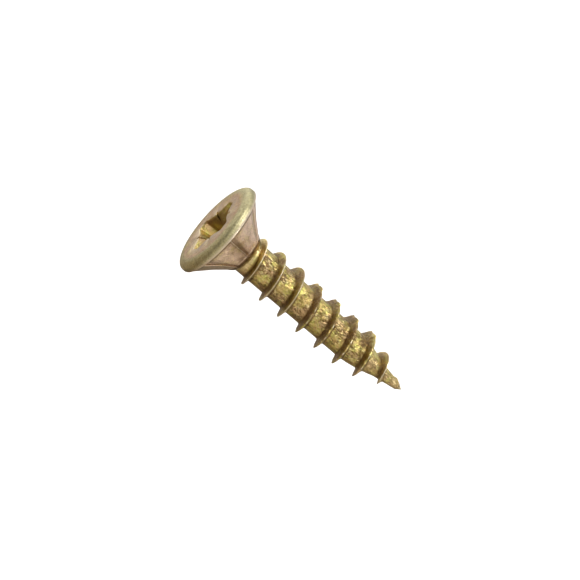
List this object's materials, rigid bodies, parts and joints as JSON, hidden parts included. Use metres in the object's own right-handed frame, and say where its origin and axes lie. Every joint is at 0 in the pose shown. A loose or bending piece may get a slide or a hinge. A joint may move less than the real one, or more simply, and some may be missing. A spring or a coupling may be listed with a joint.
{
  "type": "wood screw",
  "caption": "Countersunk wood screw with a cross recess, cutting pockets under the head and a coarse full-length thread with saw teeth near the point",
  "frame": {"origin": "centre of the head's flat face, where the screw's length is measured from and where the timber's surface lies once the screw is driven home", "axes": "Z is the screw's axis, +Z out of the head's face and -Z towards the point; +X and +Y are free, and the thread's first crest passes over +X"},
  "size_m": [0.008, 0.008, 0.0197],
  "materials": {
    "zinc_steel": "yellow zinc passivate over steel: golden brown with pink, green and pale sheens, faint scratches"
  },
  "bodies": {
    "root": {"wood_screw": "zinc_steel"}
  },
  "joints": []
}
